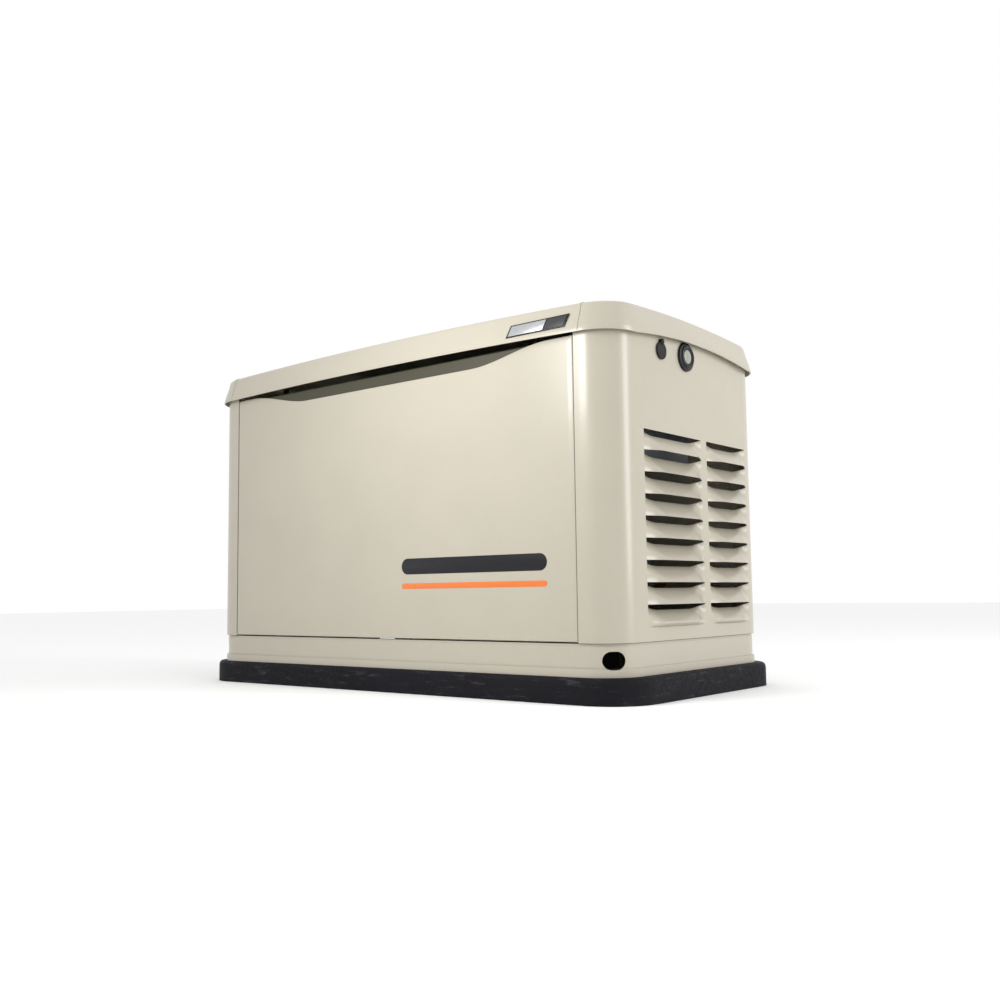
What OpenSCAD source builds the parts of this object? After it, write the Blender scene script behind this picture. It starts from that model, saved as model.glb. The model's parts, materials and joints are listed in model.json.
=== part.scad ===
// Home standby generator: a steel enclosure on a composite pad, with an air-cooled
// V-twin gas engine, a direct-driven alternator, a battery and a control box inside.
// +X runs along the length to the control end, +Y to the back, +Z up.
// The origin is at the middle of the pad's underside.

/* [Enclosure] */
// Length of the enclosure over its side panels
body_l = 1208; // [1190:1:1460]
// Depth of the enclosure over its front and rear panels
body_d = 612; // [600:1:740]
// Plan radius of the enclosure's upright corners
corner_r = 73; // [50:1:85]
// Thickness of the enclosure's sheet metal
sheet = 2; // [1.5:0.1:3]
// Height of the side and rear panels
panel_h = 613; // [600:1:740]
// Distance from the body's ends to the front panel's side joints
front_inset = 87; // [86:1:105]
// Gap along each side of the front panel
panel_gap = 1.5; // [1:0.1:3]

/* [Front panel] */
// Depth of the finger scoop along the panel's top edge
scoop_drop = 29; // [15:1:36]
// Distance from the panel's ends to the shallow ends of the scoop
scoop_inset = 95; // [80:1:120]
// Length over which the scoop's edge curves down
scoop_run = 150; // [110:1:170]
// How far the scoop's lip is set back
lip_set = 20; // [14:1:24]

/* [Lid] */
// How far the lid's lower edge overhangs the body
lid_over = 14; // [13:1:18]
// How far the skirt leans in over its height
skirt_lean = 17; // [12:1:18]
// Height of the lid's skirt at the corners
skirt_h = 47; // [40:1:52]
// Rise of the roof from front to middle
crown_d = 12; // [6:1:16]
// Rise of the roof from end to middle
crown_l = 11; // [6:1:14]
// Rise of the skirt's lower edge in the middle of its length
edge_arch = 7; // [4:1:12]
// Thickness of the lid's sheet
lid_t = 2.5; // [2:0.1:4]
// Distance from the lid's middle to the joints with its end caps
cap_joint = 531; // [500:1:545]

/* [Base and pad] */
// Height of the base frame
base_h = 62; // [55:1:75]
// How far the base frame spreads outwards at its foot
base_flare = 4; // [1:1:6]
// Thickness of the base frame's sheet
base_t = 2.5; // [2:0.1:4]
// Height of the pad
pad_h = 50; // [45:1:65]
// How far the pad reaches beyond the body's ends
pad_over = 29; // [26:1:40]
// How far the pad reaches beyond the body's front
pad_over_d = 13; // [12:1:30]
// Width of the lifting holes at the base's corners
lift_w = 44; // [30:1:48]
// Height of the lifting holes
lift_h = 34; // [24:1:36]

/* [Side panels] */
// Number of louvre slats in a column
slats = 9; // [5:1:9]
// Spacing of the slats
slat_pitch = 42.6; // [36:0.1:43]
// How far a slat's lower edge stands out
slat_out = 18; // [10:1:20]
// How far a slat's upper edge is set back
slat_in = 10; // [6:1:12]
// Height of the opening above each slat
slat_gap = 9; // [5:1:12]
// Width of the front column of slats
slat_w_front = 228; // [190:1:228]
// Width of the rear column of slats
slat_w_rear = 179; // [150:1:179]
// Diameter of the lock's rubber cover
lock_d = 36; // [30:1:42]
// Diameter of the status window's bezel
window_d = 60; // [44:1:62]

/* [Engine] */
// Height of the crankshaft above the base's floor
crank_up = 245; // [235:1:250]
// Cylinder bore
bore = 90; // [76:1:92]
// Piston stroke
stroke = 74; // [60:1:76]
// Diameter of the cooling fan on the flywheel
fan_d = 240; // [180:1:245]
// Clearance of the fits that run
run_fit = 0.05; // [0.02:0.01:0.1]

/* [Alternator] */
// Diameter of the stator's can
stator_d = 250; // [200:1:252]
// Length of the stator's can
stator_l = 300; // [250:1:330]
// Air gap between rotor and stator
air_gap = 1; // [0.5:0.1:2]
// Diameter of the rotor's shaft
shaft_d = 40; // [30:1:44]

/* [Battery and controls] */
// Battery width
batt_w = 197; // [160:1:200]
// Battery depth
batt_d = 130; // [120:1:165]
// Battery height
batt_h = 186; // [150:1:220]

/* [Hidden] */
$fn = 64;

hl = body_l / 2;
hd = body_d / 2;
base_top = pad_h + base_h;
panel_top = base_top + panel_h;
floor_z = pad_h + 5;
front_half = hl - front_inset;

// Lid: corner height, tip height and the plan at a given height
lid_z = panel_top - 22;
eave_z = lid_z + skirt_h + 10;
side_arch = 16;
roof_z = eave_z + crown_d + crown_l;
lid_hl = hl + lid_over;
lid_hd = hd + lid_over;
lid_r = corner_r + lid_over;

// Hinges behind the lid's rear edge
hinge_y = hd + 10;
hinge_z = lid_z - 6;
hinge_x = body_l * 0.29;
hinge_pin_r = 3;
hinge_barrel_r = 5;

// Louvre columns: the middle of each and its width
slat_top = base_top + 411;
slat_cols = [[-84, slat_w_front], [143, slat_w_rear]];

// Lock and status window on the side panels
lock_y = -127;
lock_z = panel_top - 38;
window_y = -28;
window_z = panel_top - 35;

// Crankshaft line
crank_y = 20;
crank_z = floor_z + crank_up;
crank_r = stroke / 2;
case_x0 = -330;
case_x1 = -110;
case_r = 92;
pin_x = [-245, -195];
head_r0 = 215;
head_h = 50;
piston_top = head_r0 - 6;
piston_h = 56;
stator_x0 = case_x1 + 20;
stator_x1 = stator_x0 + stator_l;
rotor_r = stator_d / 2 - 40 - air_gap;
divider_x = stator_x1 + 40;
exhaust_x = case_x0 - 95;
muffler_x = exhaust_x - 80;
pipe_y = 205;
pipe_z = 130;
box_z = crank_z + 305;
cam_z = crank_z - 100;
intake_x = -220;
port_z = head_r0;

// Gas supply: the regulator's place and the inlet's height
gas_x = divider_x + 90;
gas_y = 150;
inlet_z = base_top + 118;

// ---- helpers ----

// A rounded rectangle outline from half-sizes and a corner radius
module plan(hx, hy, r) {
    square([2 * (hx - r), 2 * hy], center = true);
    square([2 * hx, 2 * (hy - r)], center = true);
    for (sx = [-1, 1], sy = [-1, 1]) translate([sx * (hx - r), sy * (hy - r)]) circle(r, $fn = 96);
}

// A box between two opposite corners
module span(a, b) translate(a) cube(b - a);

// A cylinder along +X from x0 to x1 about the crankshaft line
module along_x(x0, x1, r, y = crank_y, z = crank_z)
    translate([x0, y, z]) rotate([0, 90, 0]) cylinder(r = r, h = x1 - x0);

// A ring along +X with a bore
module ring_x(x0, x1, r, r_in, y = crank_y, z = crank_z) difference() {
    along_x(x0, x1, r, y, z);
    along_x(x0 - 1, x1 + 1, r_in, y, z);
}

// Places things on a cylinder's axis: side -1 is the front bank, +1 the rear bank
module bank(side) translate([pin_x[(side + 1) / 2], crank_y, crank_z]) rotate([-45 * side, 0, 0]) children();

// Upright wall of the enclosure's side and corner, cut for one end (+X)
module end_shell() difference() {
    linear_extrude(panel_h) difference() {
        plan(hl, hd, corner_r);
        plan(hl - sheet, hd - sheet, corner_r - sheet);
    }
    translate([-hl - 1, -hd - 1, -1]) cube([hl + 1 + front_half, body_d + 2, panel_h + 2]);
}

// ---- pad and base ----

module pad() color("#3a3840") difference() {
    union() {
        linear_extrude(pad_h - 6) plan(hl + pad_over, hd + pad_over_d, corner_r + 24);
        linear_extrude(pad_h) plan(hl + pad_over - 5, hd + pad_over_d - 5, corner_r + 19);
    }
    // Weight-saving cells in the underside
    for (i = [-2:2], j = [-1, 1])
        translate([i * 225 - 95, j * 132 - 95, -1]) cube([190, 190, pad_h - 15]);
}

module base_frame() color("#d3ccb8") difference() {
    union() {
        difference() {
            union() {
                translate([0, 0, pad_h]) linear_extrude(base_h - 4)
                    plan(hl - 3, hd - 3, corner_r);
                translate([0, 0, pad_h]) linear_extrude(16)
                    plan(hl - 3 + base_flare, hd - 3 + base_flare, corner_r + base_flare);
            }
            translate([0, 0, floor_z]) linear_extrude(base_h)
                plan(hl - 3 - base_t, hd - 3 - base_t, corner_r - base_t);
        }
        // Flange that carries the panels
        translate([0, 0, base_top - 7]) linear_extrude(7) difference() {
            plan(hl - 4, hd - 4, corner_r - 1);
            plan(hl - 30, hd - 30, corner_r - 27);
        }
        // Cross rails under the engine and the alternator
        for (x = [case_x0 + 25, case_x1 - 25, stator_x1 - 30])
            span([x - 20, -hd + 20, floor_z - 1], [x + 20, hd - 20, base_top - 20]);
    }
    for (sx = [-1, 1], sy = [-1, 1])
        translate([sx * (hl - corner_r), sy * (hd - corner_r), 0]) rotate([0, 0, 45 * sx * sy + (sx < 0 ? 180 : 0)])
            translate([corner_r - 22, 0, pad_h + base_h / 2]) lift_hole();
}

// Oval opening through a corner of the base, lying along +X
module lift_hole() rotate([90, 0, 90]) linear_extrude(50) {
    square([lift_w - lift_h, lift_h], center = true);
    for (s = [-1, 1]) translate([s * (lift_w - lift_h) / 2, 0]) circle(lift_h / 2);
}

module rubber_mounts() color("#202020")
    for (x = [case_x0 + 25, case_x1 - 25, stator_x1 - 30], s = [-1, 1])
        translate([x, crank_y + s * 62, base_top - 20]) cylinder(r = 16, h = 22);

// ---- side, rear and divider panels ----

module left_side_panel() color("#d3ccb8") mirror([1, 0, 0]) side_panel(false);
module right_side_panel() color("#d3ccb8") side_panel(true);

module side_panel(with_window) {
    difference() {
        union() {
            translate([0, 0, base_top]) end_shell();
            for (c = slat_cols) translate([hl - 14, c[0] - c[1] / 2 - sheet, slat_top - slats * slat_pitch - 2])
                cube([14, c[1] + 2 * sheet, slats * slat_pitch + 4]);
        }
        for (c = slat_cols) translate([hl - 20, c[0] - c[1] / 2, slat_top - slats * slat_pitch])
            cube([30, c[1], slats * slat_pitch]);
        translate([hl - 10, lock_y, lock_z]) rotate([0, 90, 0]) cylinder(r = 9.5, h = 20);
        if (with_window) translate([hl - 10, window_y, window_z]) rotate([0, 90, 0])
            cylinder(r = window_d / 2 - 8, h = 20);
    }
    for (c = slat_cols, i = [0 : slats - 1])
        translate([hl, c[0] - c[1] / 2, slat_top - i * slat_pitch]) slat(c[1]);
}

// One pressed slat: its upper edge is set back and its lower edge bows out
module slat(w) {
    drop = slat_pitch - 1;
    ramp = 42;
    outer = [[-slat_in, -0.5, -slat_gap], [-slat_in, w + 0.5, -slat_gap], [-1, w + 0.5, -drop],
        [slat_out, w - ramp, -drop], [slat_out, ramp, -drop], [-1, -0.5, -drop]];
    inner = [for (p = outer) p - [sheet, 0, 0]];
    polyhedron(concat(outer, inner), [
        [4, 5, 0], [1, 3, 4, 0], [2, 3, 1],
        [11, 10, 6], [10, 9, 7, 6], [9, 8, 7],
        [6, 7, 1, 0], [7, 8, 2, 1], [8, 9, 3, 2], [9, 10, 4, 3], [10, 11, 5, 4], [11, 6, 0, 5]]);
}

module rear_panel() color("#d3ccb8") {
    difference() {
        span([-front_half + panel_gap, hd - sheet, base_top], [front_half - panel_gap, hd, panel_top]);
        translate([gas_x, hd - 10, inlet_z]) rotate([-90, 0, 0]) cylinder(r = 13.2, h = 20);
    }
    // Flanges inside the side panels' edges
    for (s = [-1, 1]) translate([s * front_half, hd - 1.5 * sheet, base_top + panel_h / 2 - 20])
        cube([26, sheet, panel_h - 80], center = true);
    span([-front_half + 30, hd - 2 * sheet, base_top + 40], [front_half - 30, hd - sheet, base_top + 70]);
}

module exhaust_divider() color("#b9bcbd") difference() {
    span([exhaust_x - sheet, -hd + 24, base_top], [exhaust_x, hd - 24, panel_top - 60]);
    for (s = [-1, 1]) translate([exhaust_x - 5, crank_y + s * pipe_y, crank_z + pipe_z])
        rotate([0, 90, 0]) cylinder(r = 28, h = 10);
    along_x(exhaust_x - 5, exhaust_x + 5, 60);
}

module control_divider() color("#b9bcbd") difference() {
    span([divider_x, -hd + 24, base_top], [divider_x + sheet, hd - 24, panel_top - 60]);
    along_x(divider_x - 5, divider_x + 5, 70);
}

module front_rail() color("#55524a") {
    span([-front_half - 13, -hd + lip_set + 6, panel_top - 60], [front_half + 13, -hd + lip_set + 9, panel_top - 27]);
    span([-front_half + 4, -hd + lip_set + 6, panel_top - 30], [front_half - 4, -hd + lip_set + 40, panel_top - 27]);
    for (s = [-1, 1]) span([s * (front_half + 8) - 5, -hd + sheet, panel_top - 60],
        [s * (front_half + 8) + 5, -hd + lip_set + 9, panel_top - 27]);
}

// ---- front panel, with the finger scoop along its top ----

// Height of the scoop's edge below the panel's ends, from 0 to 1
function ease(t) = let (u = max(0, min(1, t))) u * u * (3 - 2 * u);
function scoop(x) = scoop_drop * ease((front_half - scoop_inset - abs(x)) / scoop_run);
scoop_xs = [for (i = [-24 : 24]) i * (front_half - panel_gap) / 24];
front_z0 = base_top + 3;
front_z1 = lid_z - 2;

module front_panel() color("#d3ccb8") {
    translate([0, -hd + sheet, 0]) rotate([90, 0, 0]) linear_extrude(sheet)
        polygon(concat([for (x = scoop_xs) [x, front_z1 - scoop(x)]],
            [[front_half - panel_gap, front_z0], [-front_half + panel_gap, front_z0]]));
    // Lip behind the scoop
    translate([0, -hd + lip_set, 0]) rotate([90, 0, 0]) linear_extrude(lip_set - 1)
        polygon(concat([for (x = scoop_xs) [x, front_z1 - scoop(x)]],
            [for (i = [24 : -1 : -24]) let (x = scoop_xs[i + 24]) [x, front_z1 - scoop(x) - 3]]));
    // Side and bottom returns
    for (s = [-1, 1]) span([s * (front_half - panel_gap - 1) - 1, -hd + 1, front_z0],
        [s * (front_half - panel_gap - 1) + 1, -hd + 18, front_z1 - 1]);
    span([-front_half + panel_gap, -hd + 1, front_z0], [front_half - panel_gap, -hd + 18, front_z0 + 2]);
}

// ---- lid ----

// Height of the roof over a point of the plan
function roof_at(x, y) = roof_z - crown_l * pow(x / (lid_hl - skirt_lean), 2)
    - crown_d * pow(y / (lid_hd - skirt_lean), 2);

// Height of the skirt's lower edge, arched along each side
function edge_at(x, y) = lid_z + edge_arch * (1 - pow(min(1, abs(x) / (lid_hl - lid_r)), 2))
    + side_arch * (1 - pow(min(1, abs(y) / (lid_hd - lid_r)), 2))
    * max(0, (abs(x) - lid_hl + lid_r) / lid_r);

// Points of the lid's plan, inset from its lower edge
function lid_plan(inset) = let (r = lid_r - inset, hx = lid_hl - lid_r, hy = lid_hd - lid_r) concat(
    [for (i = [0 : 7]) [hx - 2 * hx * i / 8, hy + r]],
    [for (i = [0 : 7]) [-hx - r * sin(90 * i / 8), hy + r * cos(90 * i / 8)]],
    [for (i = [0 : 5]) [-hx - r, hy - 2 * hy * i / 6]],
    [for (i = [0 : 7]) [-hx - r * cos(90 * i / 8), -hy - r * sin(90 * i / 8)]],
    [for (i = [0 : 7]) [-hx + 2 * hx * i / 8, -hy - r]],
    [for (i = [0 : 7]) [hx + r * sin(90 * i / 8), -hy - r * cos(90 * i / 8)]],
    [for (i = [0 : 5]) [hx + r, -hy + 2 * hy * i / 6]],
    [for (i = [0 : 7]) [hx + r * cos(90 * i / 8), hy + r * sin(90 * i / 8)]]);

// One skin of the lid: rings from the skirt's lower edge over the roof to its middle
function lid_skin(t) = concat(
    [for (p = lid_plan(t)) [p[0], p[1], edge_at(p[0], p[1])]],
    [for (p = lid_plan(t + skirt_lean)) [p[0], p[1], roof_at(p[0], p[1]) - 5 - t]],
    [for (p = lid_plan(t + skirt_lean + 7)) [p[0], p[1], roof_at(p[0], p[1]) - t]],
    [for (k = [3, 2, 1], p = lid_plan(t + skirt_lean + 7)) [p[0] * k / 4, p[1] * k / 4,
        roof_at(p[0] * k / 4, p[1] * k / 4) - t]],
    [[0, 0, roof_z - t]]);

// The lid as a closed shell: outer skin, inner skin and the rim between them
module lid_shell() {
    n = len(lid_plan(0));
    rings = 6;
    size = n * rings + 1;
    polyhedron(concat(lid_skin(0), lid_skin(lid_t)), concat(
        [for (k = [0 : rings - 2], i = [0 : n - 1]) each skin_faces(k * n, n, i, false)],
        [for (i = [0 : n - 1]) [(rings - 1) * n + i, size - 1, (rings - 1) * n + (i + 1) % n]],
        [for (k = [0 : rings - 2], i = [0 : n - 1]) each skin_faces(size + k * n, n, i, true)],
        [for (i = [0 : n - 1]) [size + (rings - 1) * n + (i + 1) % n, 2 * size - 1, size + (rings - 1) * n + i]],
        [for (i = [0 : n - 1]) each [[i, (i + 1) % n, size + i], [(i + 1) % n, size + (i + 1) % n, size + i]]]));
}

// Two triangles between ring a and the next, seen from outside or from inside
function skin_faces(a, n, i, inside) = let (j = (i + 1) % n,
    f = [[a + i, a + n + i, a + j], [a + j, a + n + i, a + n + j]])
    inside ? [for (t = f) [t[2], t[1], t[0]]] : f;

module lid_roof() color("#d3ccb8") intersection() {
    lid_shell();
    span([-cap_joint, -2 * hd, lid_z - 50], [cap_joint, 2 * hd, roof_z + 50]);
}

module lid_cap() difference() {
    lid_shell();
    translate([-3 * hl + cap_joint, -2 * hd, 0]) cube([3 * hl, 4 * hd, 2 * roof_z]);
}

module lid_right_cap() color("#d3ccb8") lid_cap();
module lid_left_cap() color("#d3ccb8") mirror([1, 0, 0]) lid_cap();

// The front skirt's slope and its face at a height above the lid's corners
skirt_slope = skirt_lean / (skirt_h + 6);
function skirt_y(h) = lid_hd - skirt_slope * (h - edge_arch);

module badge() color("#8a8b8c") difference() {
    translate([hl * 0.725, -skirt_y(13) + 1, lid_z + 13]) rotate([90 - atan(skirt_slope), 0, 0])
        linear_extrude(3) polygon([[-76, 0], [68, 0], [76, 27], [-68, 27]]);
    lid_shell();
}

module hinge_brackets() color("#8d8f90") for (s = [-1, 1]) translate([s * hinge_x, 0, 0]) {
    span([-30, hd, hinge_z - 40], [30, hd + 2, hinge_z - hinge_barrel_r - 2]);
    for (k = [-1, 1]) {
        translate([k * 21 - 9, hinge_y, hinge_z]) rotate([0, 90, 0]) cylinder(r = hinge_barrel_r, h = 18);
        span([k * 21 - 9, hd, hinge_z - 10], [k * 21 + 9, hinge_y, hinge_z - 2]);
    }
    translate([-30, hinge_y, hinge_z]) rotate([0, 90, 0]) cylinder(r = hinge_pin_r, h = 60);
}

// Both hinge arms and both lock tabs, fixed under the lid's sheet
module lid_brackets() color("#8d8f90") difference() {
    union() {
        for (s = [-1, 1]) translate([s * hinge_x, 0, 0]) hinge_arm();
        lock_tab();
        mirror([1, 0, 0]) lock_tab();
    }
    lid_shell();
}
// Hanging plate with the tab that a lock's cam turns over
module lock_tab() {
    span([hl - 26, lock_y + 16, lock_z - 12], [hl - 24, lock_y + 34, roof_at(hl - 24, lock_y) - 1]);
    span([hl - 26, lock_y + 16, lock_z - 12], [hl - 18, lock_y + 34, lock_z - 9.5]);
}

module hinge_arm() difference() {
    union() {
        translate([-11, hinge_y, hinge_z]) rotate([0, 90, 0]) cylinder(r = hinge_barrel_r, h = 22);
        translate([-11, 0, 0]) rotate([90, 0, 90]) linear_extrude(22)
            polygon([[hinge_y - 4, hinge_z + 2], [hinge_y + 4, hinge_z + 2],
                [skirt_y(edge_arch + 4) - 1, lid_z + edge_arch + 4], [skirt_y(skirt_h) - 1, lid_z + skirt_h],
                [skirt_y(skirt_h) - lid_t - 4, lid_z + skirt_h], [skirt_y(edge_arch + 4) - lid_t - 4, lid_z + edge_arch + 4]]);
    }
    translate([-12, hinge_y, hinge_z]) rotate([0, 90, 0]) cylinder(r = hinge_pin_r + run_fit, h = 24);
}

// ---- locks and status window ----

module lock_cover() {
    translate([hl + 1, lock_y, lock_z]) rotate([0, 90, 0]) cylinder(r = lock_d / 2, h = 4);
    translate([hl + 1, lock_y, lock_z + lock_d / 2]) rotate([0, 90, 0]) cylinder(r = 6, h = 7);
}
module right_lock_cover() color("#3c383c") lock_cover();
module left_lock_cover() color("#3c383c") mirror([1, 0, 0]) lock_cover();

// Lock barrel in the side panel with its cam turned up, free of the lid's bracket
module lock() {
    translate([hl - 19, lock_y, lock_z]) rotate([0, 90, 0]) cylinder(r = 9.4, h = 19.5);
    translate([hl - 19, lock_y, lock_z]) rotate([0, 90, 0]) cylinder(r = 12, h = 16);
    translate([hl - 23, lock_y - 7, lock_z - 7]) cube([4.2, 14, 40]);
}
module right_lock() color("#8d8f90") lock();
module left_lock() color("#8d8f90") mirror([1, 0, 0]) lock();

module window_bezel() color("#2a282b") difference() {
    union() {
        translate([hl, window_y, window_z]) rotate([0, 90, 0]) cylinder(r = window_d / 2, h = 6);
        translate([hl, window_y, window_z]) rotate([0, 90, 0]) cylinder(r = window_d / 2 - 6, h = 10);
        translate([hl - 8, window_y, window_z]) rotate([0, 90, 0]) cylinder(r = window_d / 2 - 8.1, h = 9);
    }
    translate([hl - 9, window_y, window_z]) rotate([0, 90, 0]) cylinder(r = window_d / 2 - 15, h = 22);
}

module window_lens() color("#9b9e91")
    translate([hl - 2, window_y, window_z]) rotate([0, 90, 0]) cylinder(r = window_d / 2 - 15, h = 9);

// ---- engine ----

module crankcase() color("#9a9ea0") difference() {
    union() {
        along_x(case_x0, case_x1, case_r + 8);
        for (s = [-1, 1]) bank(s) translate([-52, -60, 30]) cube([104, 120, 70]);
        // Sump and feet
        span([case_x0, crank_y - 85, crank_z - 135], [case_x1, crank_y + 85, crank_z - 40]);
        span([case_x0 + 5, crank_y - 85, base_top + 2], [case_x1 - 5, crank_y + 85, crank_z - 120]);
    }
    along_x(case_x0 + 12, case_x1 - 12, case_r - 6);
    along_x(case_x0 - 5, case_x1 + 5, 22 + run_fit);
    // Bores for the cylinders' lower ends
    for (s = [-1, 1]) bank(s) cylinder(r = bore / 2 + 6, h = 130);
    // Camshaft tunnel below the crankshaft
    along_x(case_x0 + 20, case_x1 - 20, 30, crank_y, cam_z);
    along_x(case_x0 + 8, case_x1 - 8, 8 + run_fit, crank_y, cam_z);
    // Dipstick tube's hole
    translate([case_x1 - 30, crank_y - 72, crank_z - 125]) cylinder(r = 5, h = 200);
}

module cylinders() color("#8f9496") for (s = [-1, 1]) bank(s) difference() {
    union() {
        translate([0, 0, 100]) cylinder(r = bore / 2 + 9, h = head_r0 - 100);
        for (i = [0 : 7]) translate([0, 0, 108 + i * 13]) cylinder(r = bore / 2 + 24, h = 4);
        translate([0, 0, 74]) cylinder(r = bore / 2 + 6, h = 40);
    }
    translate([0, 0, 60]) cylinder(r = bore / 2 + run_fit, h = head_r0);
}

module cylinder_heads() color("#9a9ea0") for (s = [-1, 1]) bank(s) difference() {
    union() {
        translate([-66, -56, head_r0]) cube([132, 112, head_h]);
        for (i = [0 : 2]) translate([-78, -70, head_r0 + 5 + i * 15]) cube([156, 140, 4]);
    }
    translate([0, 0, head_r0 - 1]) cylinder(r = bore / 2 - 4, h = 12);
    // Spark plug's hole
    translate([-40, 0, head_r0 - 1]) cylinder(r = 7, h = head_h + 5);
}

module valve_covers() color("#26262a") for (s = [-1, 1]) bank(s)
    difference() {
        translate([-26, -50, head_r0 + head_h]) cube([90, 100, 34]);
        translate([-22, -46, head_r0 + head_h - 1]) cube([82, 92, 31]);
    }

module piston(s) bank(s) difference() {
    translate([0, 0, piston_top - piston_h]) cylinder(r = bore / 2, h = piston_h);
    translate([0, 0, piston_top - piston_h - 1]) cylinder(r = bore / 2 - 7, h = piston_h - 12);
    for (i = [0 : 2]) translate([0, 0, piston_top - 10 - i * 7]) difference() {
        cylinder(r = bore / 2 + 1, h = 2);
        cylinder(r = bore / 2 - 2, h = 2);
    }
}
module front_piston() color("#b8bcbe") piston(-1);
module rear_piston() color("#b8bcbe") piston(1);

module crankshaft() color("#84888a") {
    along_x(case_x0 - 60, pin_x[0] - 34, 22);
    along_x(pin_x[1] + 34, case_x1 + 19, 22);
    for (x = [pin_x[0] - 34, pin_x[1] + 22]) {
        along_x(x, x + 12, 34);
        translate([x, crank_y, crank_z]) rotate([90, 0, 90]) linear_extrude(12) {
            translate([-20, 0]) square([40, crank_r + 20]);
            translate([-45, -60]) square([90, 60]);
        }
    }
    along_x(pin_x[0] - 34, pin_x[1] + 34, 19, crank_y, crank_z + crank_r);
}

module camshaft() color("#6f7375") {
    along_x(case_x0 + 10, case_x1 - 10, 8, crank_y, cam_z);
    for (i = [0 : 3]) translate([case_x0 + 60 + i * 32, crank_y, cam_z]) rotate([90, 0, 90]) linear_extrude(14) {
        circle(12);
        translate([(i % 2 == 0 ? 6 : -6), 4]) circle(10);
    }
    along_x(case_x0 + 28, case_x0 + 38, 27, crank_y, cam_z);
}

module flywheel() color("#4a4d50") {
    difference() {
        along_x(case_x0 - 50, case_x0 - 36, fan_d / 2 - 20);
        along_x(case_x0 - 51, case_x0 - 35, 22);
    }
    for (i = [0 : 15]) translate([case_x0 - 50, crank_y, crank_z]) rotate([i * 22.5, 0, 0])
        translate([-22, -2, 45]) cube([23, 4, fan_d / 2 - 47]);
}

module blower_housing() color("#1f2022") difference() {
    union() {
        ring_x(case_x0 - 29, case_x0, 80, 74);
        along_x(exhaust_x + 6, case_x0 - 28, fan_d / 2 + 10);
        // Baffles leading the air to the cylinders
        for (s = [-1, 1]) bank(s) translate([case_x0 - 36 - pin_x[(s + 1) / 2], -70, 60]) cube([8, 140, head_r0]);
    }
    along_x(exhaust_x + 10, case_x0 - 34, fan_d / 2 + 6);
    along_x(exhaust_x, exhaust_x + 20, fan_d / 2 - 40);
    along_x(case_x0 - 40, case_x0 + 1, 40);
    for (s = [-1, 1]) translate([exhaust_x, crank_y + s * pipe_y, crank_z + pipe_z]) rotate([0, 90, 0])
        cylinder(r = 26, h = 80);
}

module spark_plugs() color("#d9d9d4") for (s = [-1, 1]) bank(s) translate([-40, 0, head_r0 + 8]) {
    cylinder(r = 6.9, h = head_h - 8);
    translate([0, 0, head_h - 8]) cylinder(r = 11, h = 8, $fn = 6);
    translate([0, 0, head_h]) cylinder(r = 6, h = 26);
}

// Intake, in the valley between the two banks
module intake_manifold() color("#9a9ea0") difference() {
    translate([intake_x, crank_y, crank_z + port_z]) {
        for (s = [-1, 1]) rotate([90 * s, 0, 0]) cylinder(r = 20, h = 150);
        cylinder(r = 24, h = 24);
    }
    translate([intake_x, crank_y, crank_z + port_z]) cylinder(r = 19, h = 40);
    translate([intake_x, crank_y - 150, crank_z + port_z]) rotate([-90, 0, 0]) cylinder(r = 16, h = 300);
    // The arms end on the heads' inner sides
    for (s = [-1, 1]) bank(s) translate([-200, s > 0 ? -70 : -230, 60]) cube([400, 300, 300]);
}

module throttle_body() color("#b0b4b6") difference() {
    translate([intake_x, crank_y, crank_z + port_z + 24]) cylinder(r = 26, h = box_z - crank_z - port_z - 24);
    translate([intake_x, crank_y, crank_z + port_z + 23]) cylinder(r = 19, h = 90);
    translate([intake_x - 40, crank_y, crank_z + 284]) rotate([0, 90, 0]) cylinder(r = 4 + run_fit, h = 80);
}

module throttle_plate() color("#7d8183") translate([intake_x, crank_y, crank_z + 284]) {
    translate([-34, 0, 0]) rotate([0, 90, 0]) cylinder(r = 4, h = 68);
    cylinder(r = 18, h = 2, center = true);
    translate([28, -6, -24]) cube([5, 12, 30]);
}

module air_box() color("#1f2022") difference() {
    span([intake_x - 110, crank_y - 110, box_z], [intake_x + 110, crank_y + 110, box_z + 62]);
    span([intake_x - 107, crank_y - 107, box_z + 4], [intake_x + 107, crank_y + 107, box_z + 70]);
    translate([intake_x, crank_y, box_z - 1]) cylinder(r = 19, h = 10);
}

module air_filter() color("#c9b48a")
    span([intake_x - 95, crank_y - 95, box_z + 4], [intake_x + 95, crank_y + 95, box_z + 56]);

module filter_cover() color("#26272a") {
    span([intake_x - 112, crank_y - 112, box_z + 62.4], [intake_x + 112, crank_y + 112, box_z + 66]);
    for (i = [-2 : 2]) span([intake_x - 90, crank_y + i * 40 - 4, box_z + 65], [intake_x + 90, crank_y + i * 40 + 4, box_z + 70]);
}

module exhaust_pipes() color("#8a7d70") for (s = [-1, 1]) {
    y = crank_y + s * pipe_y;
    z = crank_z + pipe_z;
    difference() {
        union() {
            translate([muffler_x, y, z]) rotate([0, 90, 0])
                cylinder(r = 20, h = pin_x[(s + 1) / 2] - 78 - muffler_x);
            translate([muffler_x, y, z]) sphere(20);
            translate([muffler_x, y, z]) rotate([s * 90, 0, 0]) cylinder(r = 20, h = 60);
        }
        translate([muffler_x, y, z]) rotate([0, 90, 0]) cylinder(r = 17, h = 300);
    }
}

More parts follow.
